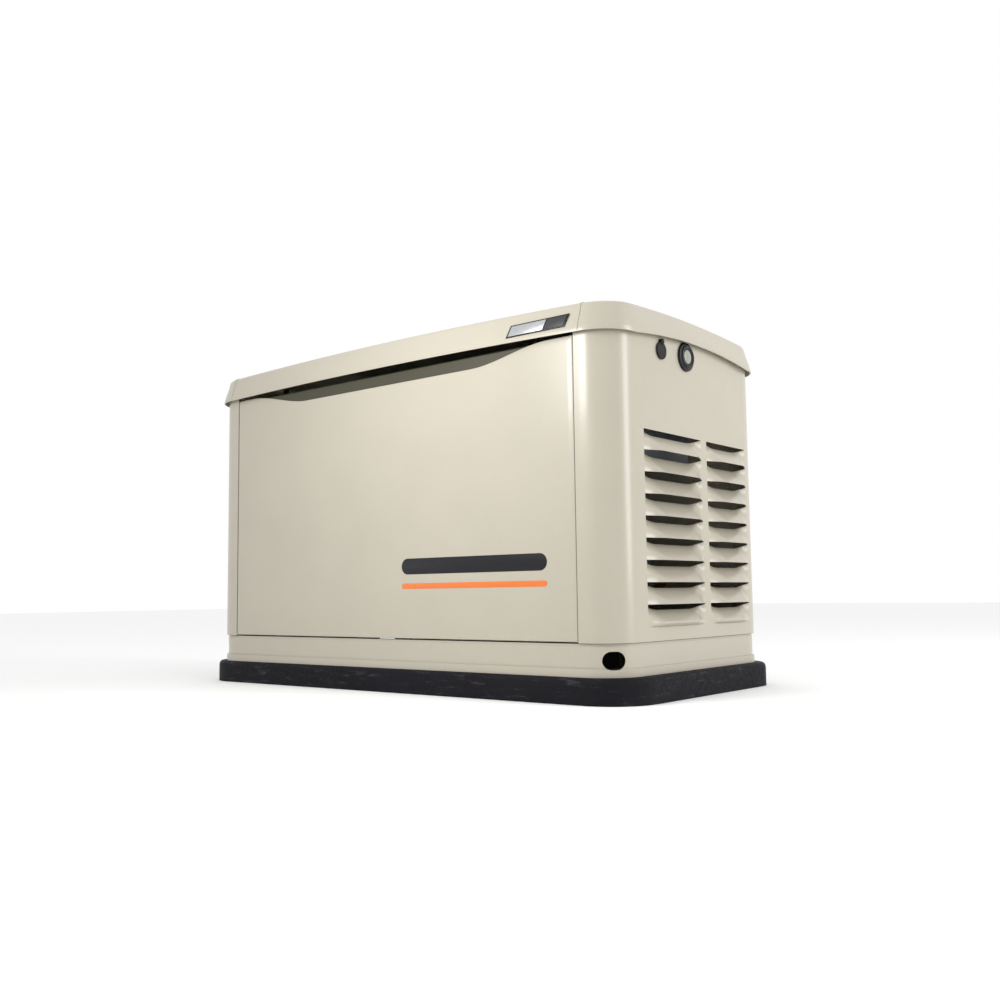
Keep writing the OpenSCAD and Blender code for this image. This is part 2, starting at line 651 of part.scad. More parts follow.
module muffler() color("#77706a") {
    difference() {
        translate([muffler_x, crank_y - 144, crank_z + 130]) rotate([-90, 0, 0]) cylinder(r = 72, h = 288);
        translate([muffler_x, crank_y - 141, crank_z + 130]) rotate([-90, 0, 0]) cylinder(r = 70, h = 282);
    }
    // Bracket down to the base and the tail pipe
    span([muffler_x - 10, crank_y - 60, floor_z], [muffler_x + 10, crank_y + 60, crank_z + 60]);
    translate([muffler_x, crank_y, crank_z + 130]) rotate([0, -90, 0]) cylinder(r = 24, h = 82);
}

module oil_filter() color("#c87a1e") {
    translate([case_x1 - 50, crank_y - 85, crank_z - 80]) rotate([90, 0, 0]) cylinder(r = 12, h = 10);
    translate([case_x1 - 50, crank_y - 92, crank_z - 80]) rotate([90, 0, 0]) cylinder(r = 33, h = 74);
    translate([case_x1 - 50, crank_y - 165, crank_z - 80]) rotate([90, 0, 0]) cylinder(r = 28, h = 6);
}

module dipstick() color("#d8c020") translate([case_x1 - 30, crank_y - 72, crank_z - 118]) {
    cylinder(r = 2, h = 204);
    translate([0, 0, 214]) rotate([90, 0, 0]) rotate_extrude() translate([11, 0]) circle(3);
    translate([0, 0, 170]) cylinder(r = 4.9, h = 20);
}

module starter_motor() color("#2b2c2f") {
    translate([case_x0 + 20, crank_y + 150, crank_z - 60]) rotate([0, 90, 0]) cylinder(r = 38, h = 150);
    translate([case_x0 - 10, crank_y + 150, crank_z - 60]) rotate([0, 90, 0]) cylinder(r = 24, h = 32);
    span([case_x0 + 30, crank_y + 85, crank_z - 98], [case_x0 + 60, crank_y + 140, crank_z - 72]);
}

// ---- alternator ----

module alternator_stator() color("#34363a") difference() {
    union() {
        ring_x(stator_x0, stator_x1, stator_d / 2, rotor_r + air_gap);
        ring_x(case_x1, stator_x0, 100, 60);
        span([stator_x1 - 60, crank_y - 85, base_top + 2], [stator_x1 - 5, crank_y + 85, crank_z - stator_d / 2 + 25]);
    }
    along_x(stator_x0 + 20, stator_x1 + 5, rotor_r + air_gap);
}

module bearing_carrier() color("#9a9ea0") difference() {
    union() {
        ring_x(stator_x1, stator_x1 + 16, stator_d / 2, 31);
        ring_x(stator_x1, stator_x1 + 30, 46, 31);
    }
    for (i = [0 : 7]) translate([stator_x1 - 1, crank_y, crank_z]) rotate([i * 45, 0, 0])
        translate([0, 0, 80]) rotate([0, 90, 0]) cylinder(r = 20, h = 40);
}

module rear_bearing() color("#c4c8ca") {
    ring_x(stator_x1 + 8, stator_x1 + 24, 31, 26.5);
    ring_x(stator_x1 + 8, stator_x1 + 24, 23, shaft_d / 2 + run_fit);
    for (i = [0 : 8]) translate([stator_x1 + 16, crank_y, crank_z]) rotate([i * 40, 0, 0])
        translate([0, 0, 24.75]) sphere(2.6, $fn = 24);
}

module rotor() color("#a8643a") {
    ring_x(stator_x0 + 30, stator_x1 - 20, rotor_r, shaft_d / 2);
    along_x(case_x1 + 19, stator_x1 + 34, shaft_d / 2);
    // Slip rings and the cooling fan
    ring_x(stator_x1 - 16, stator_x1 - 6, 30, shaft_d / 2);
    ring_x(stator_x0 + 2, stator_x0 + 8, rotor_r - 6, shaft_d / 2);
    for (i = [0 : 11]) translate([stator_x0 + 7, crank_y, crank_z]) rotate([i * 30, 0, 0])
        translate([0, -2, 35]) cube([16, 4, rotor_r - 43]);
}

// ---- fuel ----

module gas_regulator() color("#a9acae") {
    translate([gas_x, gas_y, inlet_z + 40]) cylinder(r = 62, h = 30);
    translate([gas_x, gas_y, inlet_z + 70]) cylinder(r = 40, h = 18);
    difference() {
        span([gas_x - 34, gas_y - 30, inlet_z - 30], [gas_x + 34, gas_y + 60, inlet_z + 40]);
        translate([gas_x, gas_y + 20, inlet_z]) rotate([-90, 0, 0]) cylinder(r = 13.2, h = 50);
    }
    translate([gas_x, gas_y, base_top - 1]) cylinder(r = 14, h = inlet_z - base_top - 20);
    span([gas_x + 20, gas_y - 20, inlet_z - 10], [gas_x + 60, gas_y + 20, inlet_z + 25]);
}

module fuel_inlet() color("#c2a14a") difference() {
    union() {
        translate([gas_x, gas_y + 35, inlet_z]) rotate([-90, 0, 0]) cylinder(r = 13.2, h = hd - gas_y - 30);
        translate([gas_x, hd, inlet_z]) rotate([-90, 0, 0]) cylinder(r = 19, h = 5);
    }
    translate([gas_x, gas_y + 30, inlet_z]) rotate([-90, 0, 0]) cylinder(r = 9.6, h = hd);
}

module fuel_hose() color("#1b1b1c") {
    translate([gas_x - 34, gas_y, inlet_z + 10]) rotate([0, -90, 0]) cylinder(r = 15, h = gas_x - 34 - divider_x - sheet);
}

// ---- battery ----

batt_x = divider_x + 30;
batt_y = -hd + 60;
batt_z = floor_z + 3;

module battery_tray() color("#2b2c2f") difference() {
    span([batt_x - 4, batt_y - 4, floor_z], [batt_x + batt_w + 4, batt_y + batt_d + 4, batt_z + 30]);
    span([batt_x, batt_y, batt_z], [batt_x + batt_w, batt_y + batt_d, batt_z + 40]);
}

module battery() color("#1d1e20") {
    span([batt_x, batt_y, batt_z], [batt_x + batt_w, batt_y + batt_d, batt_z + batt_h]);
    span([batt_x + 8, batt_y + 8, batt_z], [batt_x + batt_w - 8, batt_y + batt_d - 8, batt_z + batt_h + 8]);
    for (s = [0, 1]) translate([batt_x + 28 + s * (batt_w - 56), batt_y + 28, batt_z + batt_h + 7])
        cylinder(r = 8.5, h = 17);
}

// ---- control box ----

box_x0 = divider_x + 20;
box_x1 = hl - 75;
box_y0 = -hd + 60;
box_y1 = 110;
box_top = panel_top - 55;
box_low = box_top - 190;
face_x0 = box_x0 + 20;
face_y0 = box_y0 + 16;

module control_box() color("#c3c6c8") {
    difference() {
        span([box_x0, box_y0, box_low], [box_x1, box_y1, box_top]);
        span([box_x0 + 2, box_y0 + 2, box_low + 2], [box_x1 - 2, box_y1 - 2, box_top - 2]);
        span([face_x0, face_y0, box_top - 5], [face_x0 + 150, face_y0 + 120, box_top + 5]);
        span([face_x0 + 10, face_y0 + 170, box_top - 5], [face_x0 + 80, face_y0 + 270, box_top + 5]);
    }
    // Bracket to the divider
    span([divider_x + sheet, box_y0 + 40, box_low + 30], [box_x0 + 1, box_y1 - 40, box_low + 34]);
}

button_ys = [24, 60, 96];
module controller() color("#1f2326") difference() {
    union() {
        span([face_x0 + 0.2, face_y0 + 0.2, box_top - 30], [face_x0 + 149.8, face_y0 + 119.8, box_top]);
        span([face_x0 - 6, face_y0 - 6, box_top], [face_x0 + 156, face_y0 + 126, box_top + 6]);
    }
    for (y = button_ys) translate([face_x0 + 122, face_y0 + y, box_top - 4]) cylinder(r = 11.3, h = 12);
    // Display recess
    span([face_x0 + 12, face_y0 + 30, box_top + 4], [face_x0 + 92, face_y0 + 90, box_top + 8]);
}

module button(i) translate([face_x0 + 122, face_y0 + button_ys[i], box_top + 6 - 7]) cylinder(r = 11, h = 10.5);
module off_button() color("#b02820") button(0);
module auto_button() color("#2e8b46") button(1);
module manual_button() color("#2b5fa8") button(2);

brk_x = face_x0 + 45;
brk_y = face_y0 + 220;
module main_breaker() color("#232426") difference() {
    union() {
        span([brk_x - 34.8, brk_y - 49.8, box_top - 60], [brk_x + 34.8, brk_y + 49.8, box_top]);
        span([brk_x - 40, brk_y - 55, box_top], [brk_x + 40, brk_y + 55, box_top + 5]);
    }
    span([brk_x - 14, brk_y - 27, box_top - 20], [brk_x + 14, brk_y + 27, box_top + 6]);
    translate([brk_x - 20, brk_y, box_top - 8]) rotate([0, 90, 0]) cylinder(r = 3 + run_fit, h = 40);
}
lever_lean = 30;
module breaker_lever() color("#101112") translate([brk_x, brk_y, box_top - 8]) {
    translate([-19, 0, 0]) rotate([0, 90, 0]) cylinder(r = 3, h = 38);
    rotate([lever_lean, 0, 0]) translate([-11, -4, -5]) cube([22, 8, 32]);
}

pad();
base_frame();
rubber_mounts();
left_side_panel();
right_side_panel();
rear_panel();
exhaust_divider();
control_divider();
front_rail();
crankcase();
cylinders();
cylinder_heads();
valve_covers();
front_piston();
rear_piston();
blower_housing();
spark_plugs();
intake_manifold();
throttle_body();
throttle_plate();
air_box();
air_filter();
filter_cover();
exhaust_pipes();
muffler();
oil_filter();
dipstick();
starter_motor();
alternator_stator();
bearing_carrier();
rear_bearing();
gas_regulator();
fuel_hose();
fuel_inlet();
battery();
battery_tray();
control_box();
controller();
off_button();
auto_button();
manual_button();
main_breaker();
breaker_lever();
window_bezel();
window_lens();
hinge_brackets();
lid_roof();
lid_left_cap();
lid_right_cap();
lid_brackets();
badge();
front_panel();
right_lock_cover();
left_lock_cover();
right_lock();
left_lock();
crankshaft();
flywheel();
rotor();
camshaft();
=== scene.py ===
import json
import math

import bmesh
import bpy
from mathutils import Matrix, Vector


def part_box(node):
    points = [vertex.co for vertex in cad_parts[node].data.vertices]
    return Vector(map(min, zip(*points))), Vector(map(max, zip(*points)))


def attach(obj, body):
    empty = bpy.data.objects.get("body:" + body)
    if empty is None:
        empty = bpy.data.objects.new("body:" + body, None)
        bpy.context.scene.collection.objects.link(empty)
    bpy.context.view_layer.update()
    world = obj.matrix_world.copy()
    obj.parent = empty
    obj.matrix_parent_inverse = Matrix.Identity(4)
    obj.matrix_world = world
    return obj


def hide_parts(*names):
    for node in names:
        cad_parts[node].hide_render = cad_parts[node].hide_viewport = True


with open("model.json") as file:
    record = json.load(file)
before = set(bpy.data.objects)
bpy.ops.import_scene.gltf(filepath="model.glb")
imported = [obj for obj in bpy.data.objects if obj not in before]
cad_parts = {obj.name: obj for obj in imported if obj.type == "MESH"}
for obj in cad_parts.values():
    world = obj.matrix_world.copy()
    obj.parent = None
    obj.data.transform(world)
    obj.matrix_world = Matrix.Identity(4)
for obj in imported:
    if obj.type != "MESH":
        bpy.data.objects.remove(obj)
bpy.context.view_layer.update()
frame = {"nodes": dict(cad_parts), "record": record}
MM = 0.001

# ---- sizes read from the frame ----

SIDE_LOW, SIDE_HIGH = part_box("right_side_panel")
FRONT_LOW, FRONT_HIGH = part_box("front_panel")
ROOF_LOW, ROOF_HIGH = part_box("lid_roof")
CAP_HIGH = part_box("lid_right_cap")[1]
PAD_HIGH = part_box("pad")[1]

SLAT_OUT = 18 * MM
SLAT_IN = 10 * MM
BODY_X = SIDE_HIGH[0] - SLAT_OUT
BODY_Y = SIDE_HIGH[1]
CORNER_R = 73 * MM
PANEL_GAP = 1.5 * MM
FRONT_HALF = FRONT_HIGH[0] + PANEL_GAP
LID_X = CAP_HIGH[0]
LID_Y = ROOF_HIGH[1]
LID_R = CORNER_R + LID_X - BODY_X
LID_LOW = ROOF_LOW[2]
LEAN = 17 * MM
SEAM_X = ROOF_HIGH[0]


# ---- materials ----

def to_linear(hex_colour):
    """A hex sRGB colour as linear RGBA."""
    parts = [int(hex_colour[i:i + 2], 16) / 255 for i in (0, 2, 4)]
    return [p / 12.92 if p <= 0.04045 else ((p + 0.055) / 1.055) ** 2.4 for p in parts] + [1.0]


def add_node(tree, kind, settings=None, links=None):
    """Adds a shader node, sets its inputs and attributes, and links its inputs."""
    made = tree.nodes.new(kind)
    for key, value in (settings or {}).items():
        if key in made.inputs:
            made.inputs[key].default_value = value
        else:
            setattr(made, key, value)
    for key, source in (links or {}).items():
        tree.links.new(source, made.inputs[key])
    return made


def surface(name, colour, rough, metal=0.0, grain=2.0, spread=0.05, blotch=0.04, bump=0.1, coat=0.0,
            rough_spread=0.08, ior=1.5, stretch=(1, 1, 1)):
    """A material whose colour and roughness vary at two scales. grain is in millimetres."""
    material = bpy.data.materials.new(name)
    material.use_nodes = True
    tree = material.node_tree
    shader = tree.nodes["Principled BSDF"]
    place = add_node(tree, "ShaderNodeTexCoord")
    stretched = add_node(tree, "ShaderNodeMapping", {"Scale": stretch}, {"Vector": place.outputs["Object"]})
    fine = add_node(tree, "ShaderNodeTexNoise", {"Scale": 1000 / grain, "Detail": 4.0, "Roughness": 0.6},
                    {"Vector": stretched.outputs["Vector"]})
    broad = add_node(tree, "ShaderNodeTexNoise", {"Scale": 7.0, "Detail": 3.0, "Roughness": 0.5},
                     {"Vector": place.outputs["Object"]})
    base = to_linear(colour)
    dark = [c * (1 - spread) for c in base[:3]] + [1]
    light = [min(1, c * (1 + spread)) for c in base[:3]] + [1]
    grained = add_node(tree, "ShaderNodeMix", {"data_type": "RGBA"})
    grained.inputs[6].default_value = dark
    grained.inputs[7].default_value = light
    tree.links.new(fine.outputs["Fac"], grained.inputs[0])
    shade = add_node(tree, "ShaderNodeMapRange", {"From Min": 0.3, "From Max": 0.7, "To Min": 1 - blotch,
                                                  "To Max": 1 + blotch}, {"Value": broad.outputs["Fac"]})
    toned = add_node(tree, "ShaderNodeVectorMath", {"operation": "SCALE"}, {"Scale": shade.outputs["Result"]})
    tree.links.new(grained.outputs[2], toned.inputs[0])
    tree.links.new(toned.outputs["Vector"], shader.inputs["Base Color"])
    polish = add_node(tree, "ShaderNodeMapRange", {"From Min": 0.3, "From Max": 0.7,
                                                   "To Min": max(0.02, rough - rough_spread),
                                                   "To Max": min(1, rough + rough_spread)},
                      {"Value": fine.outputs["Fac"]})
    tree.links.new(polish.outputs["Result"], shader.inputs["Roughness"])
    relief = add_node(tree, "ShaderNodeBump", {"Strength": bump, "Distance": 0.6 * MM},
                      {"Height": fine.outputs["Fac"]})
    tree.links.new(relief.outputs["Normal"], shader.inputs["Normal"])
    shader.inputs["Metallic"].default_value = metal
    shader.inputs["IOR"].default_value = ior
    shader.inputs["Coat Weight"].default_value = coat
    shader.inputs["Coat Roughness"].default_value = 0.12
    return material


def composite(name):
    """Mottled dark composite with pale scuffs, as the pad is moulded from."""
    material = surface(name, "131217", 0.65, grain=6, spread=0.25, blotch=0.22, bump=0.5, rough_spread=0.15,
                       ior=1.22)
    tree = material.node_tree
    shader = tree.nodes["Principled BSDF"]
    place = add_node(tree, "ShaderNodeTexCoord")
    drawn = add_node(tree, "ShaderNodeMapping", {"Scale": (5, 5, 30), "Rotation": (0.5, 0.3, 0.4)},
                     {"Vector": place.outputs["Object"]})
    streak = add_node(tree, "ShaderNodeTexNoise", {"Scale": 3.0, "Detail": 8.0, "Roughness": 0.72},
                      {"Vector": drawn.outputs["Vector"]})
    scuff = add_node(tree, "ShaderNodeMapRange", {"From Min": 0.56, "From Max": 0.78, "To Min": 0.0,
                                                  "To Max": 0.28}, {"Value": streak.outputs["Fac"]})
    mixed = add_node(tree, "ShaderNodeMix", {"data_type": "RGBA"})
    mixed.inputs[7].default_value = to_linear("77737f")
    under = shader.inputs["Base Color"].links[0].from_socket
    tree.links.new(scuff.outputs["Result"], mixed.inputs[0])
    tree.links.new(under, mixed.inputs[6])
    tree.links.new(mixed.outputs[2], shader.inputs["Base Color"])
    return material


PAINT = surface("bisque_paint", "aaa495", 0.3, grain=1.6, spread=0.012, blotch=0.02, bump=0.05, coat=0.15,
                rough_spread=0.04)
# Dark olive for the strip behind the scoop: painted shade standing in for the lid's shadow, since the real
# strip carries the body paint.
SHADE_PAINTED_OLIVE = surface("painted_shade_olive", "3a3728", 0.6, grain=1.6, spread=0.03, blotch=0.05, bump=0.05)
LOOKS = {
    "composite": composite("pad_composite"),
    "panel_paint": PAINT,
    "rubber": surface("black_rubber", "1a191b", 0.55, grain=1.2, spread=0.12, bump=0.2, ior=1.3),
    "galvanised": surface("galvanised_steel", "7f8385", 0.5, metal=1.0, grain=14, spread=0.12, bump=0.05),
    "dark_paint": surface("charcoal_paint", "2e3033", 0.45, grain=1.5, spread=0.08, bump=0.12),
    "cast_aluminium": surface("cast_aluminium", "a0a4a6", 0.5, metal=1.0, grain=1.8, spread=0.1, bump=0.5),
    "black_plastic": surface("black_plastic", "232427", 0.46, grain=0.9, spread=0.1, bump=0.25),
    "ceramic_white": surface("white_ceramic", "e4e2da", 0.12, grain=3, spread=0.02, bump=0.02, coat=0.6),
    "machined_steel": surface("machined_steel", "8d9193", 0.32, metal=1.0, grain=0.8, spread=0.08, bump=0.1,
                              stretch=(0.1, 1, 1)),
    "filter_paper": surface("filter_paper", "c9b48a", 0.9, grain=0.8, spread=0.1, bump=0.4,
                            stretch=(0.2, 4, 1)),
    "hot_steel": surface("heat_tinted_steel", "8a7a6a", 0.42, metal=1.0, grain=5, spread=0.2, blotch=0.2,
                         bump=0.1),
    "orange_paint": surface("orange_paint", "d26a1c", 0.3, grain=1.5, spread=0.03, bump=0.04, coat=0.4),
    "yellow_plastic": surface("yellow_plastic", "e0c22a", 0.32, grain=1.5, spread=0.03, bump=0.05),
    "brass": surface("brass", "b9974a", 0.34, metal=1.0, grain=1.5, spread=0.06, bump=0.08),
    "copper_paint": surface("varnished_copper", "9c5a34", 0.38, metal=0.6, grain=1.0, spread=0.15, bump=0.3),
    "red_plastic": surface("red_plastic", "b02820", 0.3, grain=1.5, spread=0.03, bump=0.05),
    "green_plastic": surface("green_plastic", "2e8b46", 0.3, grain=1.5, spread=0.03, bump=0.05),
    "blue_plastic": surface("blue_plastic", "2b5fa8", 0.3, grain=1.5, spread=0.03, bump=0.05),
    "lens": surface("frosted_lens", "85887c", 0.22, grain=2.5, spread=0.06, bump=0.1, coat=0.6),
    "badge_metal": surface("brushed_badge", "b9bbbd", 0.3, metal=0.9, grain=0.6, spread=0.1, bump=0.05,
                           stretch=(0.05, 1, 1)),
}
DARK_TRIM = surface("dark_trim", "161519", 0.35, grain=1.2, spread=0.06, bump=0.08, ior=1.35)


def dress_frame():
    """Gives every CAD node the material of its record slot."""
    for part in frame["record"]["subparts"]:
        shape = frame["nodes"][part["node"]]
        shape.data.materials.clear()
        shape.data.materials.append(LOOKS[part["material_slot"]])


# ---- mesh helpers ----

def make_piece(name, mesh, body, material, replaced=(), smooth=40):
    """Turns a bmesh into a piece that rides on a body."""
    bmesh.ops.recalc_face_normals(mesh, faces=mesh.faces)
    data = bpy.data.meshes.new(name)
    mesh.to_mesh(data)
    mesh.free()
    piece = bpy.data.objects.new(name, data)
    bpy.context.scene.collection.objects.link(piece)
    data.materials.append(material)
    data.shade_smooth()
    data.set_sharp_from_angle(angle=math.radians(smooth))
    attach(piece, body)
    if replaced:
        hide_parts(*replaced)


def plan_points(half_x, half_y, radius, corner_steps=12, side_steps=24, front_steps=48):
    """The plan outline as a loop of (x, y), from the rear right corner anticlockwise."""
    hx, hy = half_x - radius, half_y - radius
    points = []
    corners = [(hx, hy, 0), (-hx, hy, 90), (-hx, -hy, 180), (hx, -hy, 270)]
    for index, (cx, cy, start) in enumerate(corners):
        for i in range(corner_steps + 1):
            angle = math.radians(start + 90 * i / corner_steps)
            points.append((cx + radius * math.cos(angle), cy + radius * math.sin(angle)))
        steps = front_steps if index % 2 == 0 else side_steps
        nx, ny, turn = corners[(index + 1) % 4]
        first = points[-1]
        last = (nx + radius * math.cos(math.radians(turn)), ny + radius * math.sin(math.radians(turn)))
        for i in range(1, steps):
            t = i / steps
            points.append((first[0] + (last[0] - first[0]) * t, first[1] + (last[1] - first[1]) * t))
    return points


def add_rings(mesh, rings, closed=True):
    """Bridges each ring of points to the next and returns the rows of vertices."""
    rows = [[mesh.verts.new(p) for p in ring] for ring in rings]
    count = len(rows[0])
    for low, high in zip(rows, rows[1:]):
        for i in range(count if closed else count - 1):
            j = (i + 1) % count
            mesh.faces.new((low[i], low[j], high[j], high[i]))
    return rows


def turned(mesh, profile, centre, steps=48, side=1):
    """Adds a solid of revolution about X: profile is (distance along X, radius), outwards from the wall."""
    rings = []
    for along, radius in profile:
        rings.append([(centre[0] + side * along, centre[1] + radius * math.cos(2 * math.pi * i / steps),
                       centre[2] + radius * math.sin(2 * math.pi * i / steps)) for i in range(steps)])
    rows = add_rings(mesh, rings)
    mesh.faces.new(rows[0])
    mesh.faces.new(rows[-1])


# ---- pad and base ----

def build_pad():
    """The pad: straight sides, a rolled top edge and a flat upper face."""
    mesh = bmesh.new()
    half_x, half_y = PAD_HIGH[0], PAD_HIGH[1]
    radius = CORNER_R + 24 * MM
    top = PAD_HIGH[2]
    roll_in, roll_down = 8 * MM, 11 * MM
    profile = [(0, 0.0), (0, top * 0.12), (0, top * 0.5), (0, top - roll_down)]
    for step in (2, 4, 6, 8):
        angle = step * math.pi / 16
        profile.append((roll_in * (1 - math.cos(angle)), top - roll_down + roll_down * math.sin(angle)))
    rings = []
    for inset, z in profile:
        rings.append([(x, y, z) for x, y in plan_points(half_x - inset, half_y - inset, radius - inset)])
    rows = add_rings(mesh, rings)
    mesh.faces.new(rows[0])
    mesh.faces.new(rows[-1])
    make_piece("pad_block", mesh, "enclosure", LOOKS["composite"], ["pad"])


# ---- lid ----

ROOF_TOP = ROOF_HIGH[2]
CROWN_D = 12 * MM
CROWN_L = 11 * MM
EDGE_ARCH = 7 * MM
SIDE_ARCH = 16 * MM
SHOULDER_DROP = 9.0  # millimetres from the roof down to the top of the skirt
LID_SHEET = 2.4  # millimetres


def roof_at(x, y):
    """Height of the roof over a point."""
    return ROOF_TOP - CROWN_L * (x / (LID_X - LEAN)) ** 2 - CROWN_D * (y / (LID_Y - LEAN)) ** 2


def edge_at(x, y):
    """Height of the skirt's lower edge."""
    along_front = 1 - min(1, abs(x) / (LID_X - LID_R)) ** 2
    along_side = 1 - min(1, abs(y) / (LID_Y - LID_R)) ** 2
    on_side = max(0, (abs(x) - LID_X + LID_R) / LID_R)
    return LID_LOW + EDGE_ARCH * along_front + SIDE_ARCH * along_side * on_side


def lid_profile(t):
    """Rows from the skirt's hem over the shoulder: inset, share of the skirt's height, drop from the roof."""
    rows = [(1.1 + t, 0.0, None), (0.9 + t, 0.06, None), (2.6 + t, 0.2, None), (5.4 + t, 0.4, None),
            (8.7 + t, 0.6, None), (12.2 + t, 0.8, None)]
    shoulder = [(14.4, SHOULDER_DROP), (15.8, 5.4), (17.8, 2.9), (20.6, 1.2), (24.5, 0.3), (30.0, 0.0)]
    return rows + [(a + t, None, b + t) for a, b in shoulder]


def lid_skin(t):
    """Rings of one skin of the lid; t is how far it lies inside, in millimetres."""
    rings = []
    for inset, share, drop in lid_profile(t):
        ring = []
        for x, y in plan_points(LID_X - inset * MM, LID_Y - inset * MM, LID_R - inset * MM):
            top = roof_at(x, y) - (SHOULDER_DROP + t) * MM
            low = edge_at(x, y)
            z = low + (top - low) * share if drop is None else roof_at(x, y) - drop * MM
            ring.append((x, y, z))
        rings.append(ring)
    inner = rings[-1]
    for k in range(1, 8):
        share = 1 - k / 8
        rings.append([(x * share, y * share, roof_at(x * share, y * share) - t * MM) for x, y, z in inner])
    return rings


def lid_mesh():
    """The whole lid as one closed shell, before it is cut into roof and end caps."""
    mesh = bmesh.new()
    outer = add_rings(mesh, lid_skin(0))
    inner = add_rings(mesh, lid_skin(LID_SHEET))
    for rows in (outer, inner):
        mesh.faces.new(rows[-1])
    count = len(outer[0])
    for i in range(count):
        j = (i + 1) % count
        mesh.faces.new((outer[0][i], outer[0][j], inner[0][j], inner[0][i]))
    return mesh


def cut(mesh, x, keep_right):
    """Cuts a closed mesh at a plane across X, keeps one side and closes the cut."""
    geometry = mesh.verts[:] + mesh.edges[:] + mesh.faces[:]
    found = bmesh.ops.bisect_plane(mesh, geom=geometry, plane_co=(x, 0, 0), plane_no=(1, 0, 0),
                                   clear_inner=keep_right, clear_outer=not keep_right)
    edges = [g for g in found["geom_cut"] if isinstance(g, bmesh.types.BMEdge)]
    bmesh.ops.triangle_fill(mesh, use_beauty=True, edges=edges)


def build_lid():
    """Roof sheet and the two end caps, whose inner edges stand up in a narrow welt."""
    roof = lid_mesh()
    cut(roof, SEAM_X, False)
    cut(roof, -SEAM_X, True)
    make_piece("roof_sheet", roof, "lid", PAINT, ["lid_roof"])
    for side, label in ((1, "right"), (-1, "left")):
        cap = lid_mesh()
        cut(cap, side * SEAM_X, side > 0)
        make_piece(label + "_end_cap", cap, "lid", PAINT, ["lid_" + label + "_cap"])
        welt = lid_mesh()
        cut(welt, side * (SEAM_X + 5 * MM), side < 0)
        cut(welt, side * (SEAM_X - 1 * MM), side > 0)
        swell_band(welt)
        make_piece(label + "_cap_welt", welt, "lid", PAINT)


def swell_band(mesh):
    """Pushes a band cut from the lid outwards a little, as a welt that stays within the lid's width."""
    rise = 1.2
    limit = LID_Y - 0.1 * MM
    for v in mesh.verts:
        lean = Vector((0, v.co.y, (v.co.z - 0.5) * 0.9)).normalized()
        v.co += lean * rise * MM
        v.co.y = max(-limit, min(limit, v.co.y))


# ---- louvred side panels ----

SLAT_ROWS = 9
SLAT_PITCH = 42.6 * MM
SLAT_TOP = SIDE_LOW[2] + 411 * MM
SLAT_COLUMNS = [(-198 * MM, 30 * MM), (53.5 * MM, 232.5 * MM)]
SLAT_LOW = SLAT_TOP - SLAT_ROWS * SLAT_PITCH
SLAT_GAP = 9.5 * MM
PANEL_TOP = SIDE_HIGH[2]


def panel_stations():
    """Points (x, y) along the panel's wrapped outline, front edge to rear edge."""
    half = []
    for i in range(4):
        half.append((FRONT_HALF + (BODY_X - CORNER_R - FRONT_HALF) * i / 4, -BODY_Y))
    for i in range(13):
        a = math.radians(90 * i / 12)
        half.append((BODY_X - CORNER_R * (1 - math.sin(a)), -BODY_Y + CORNER_R * (1 - math.cos(a))))
    window_edges = [(BODY_X, y) for column in SLAT_COLUMNS for y in column]
    return half + window_edges + [(x, -y) for x, y in reversed(half)]


def build_side_panel(side, label):
    """The wrapped sheet with its two louvre windows; side is +1 or -1."""
    mesh = bmesh.new()
    heights = [SIDE_LOW[2] + 1 * MM, SLAT_LOW, SLAT_TOP, PANEL_TOP - 12 * MM, PANEL_TOP]
    stations = panel_stations()
    add_rings(mesh, [[(x * side, y, z) for x, y in stations] for z in heights], closed=False)
    windows = []
    for low, high in SLAT_COLUMNS:
        for face in mesh.faces:
            centre = face.calc_center_median()
            if low < centre.y < high and SLAT_LOW < centre.z < SLAT_TOP and abs(centre.x) > BODY_X - 1 * MM:
                windows.append(face)
    bmesh.ops.delete(mesh, geom=windows, context="FACES")
    bmesh.ops.recalc_face_normals(mesh, faces=mesh.faces)
    if sum(f.normal.x * side * f.calc_area() for f in mesh.faces) < 0:
        bmesh.ops.reverse_faces(mesh, faces=mesh.faces)
    bmesh.ops.solidify(mesh, geom=mesh.faces[:], thickness=1.8 * MM)
    make_piece(label + "_side_sheet", mesh, "enclosure", PAINT, [label + "_side_panel"])


def slat_depth(along, drop, width):
    """How far a slat stands out at a place along its width and down its drop (0 top, 1 bottom)."""
    ramp = 40 * MM
    sink_run = 14 * MM
    edge = min(along, width - along)
    rise = edge / ramp
    line = rise if rise < 0.85 else 1 - (1.15 - min(rise, 1.15)) ** 2 / 0.6
    share = drop ** 0.92
    sunk = min(1, edge / sink_run)
    return -SLAT_IN * (1 - share) * sunk + SLAT_OUT * line * share


def opening_height(along, width):
    """Height of the gap over a slat at a place along its width; it closes towards both ends."""
    seam = 0.4 * MM
    run = 55 * MM
    edge = min(along, width - along)
    return seam + SLAT_GAP * math.sin(math.pi / 2 * min(1, edge / run)) ** 0.8


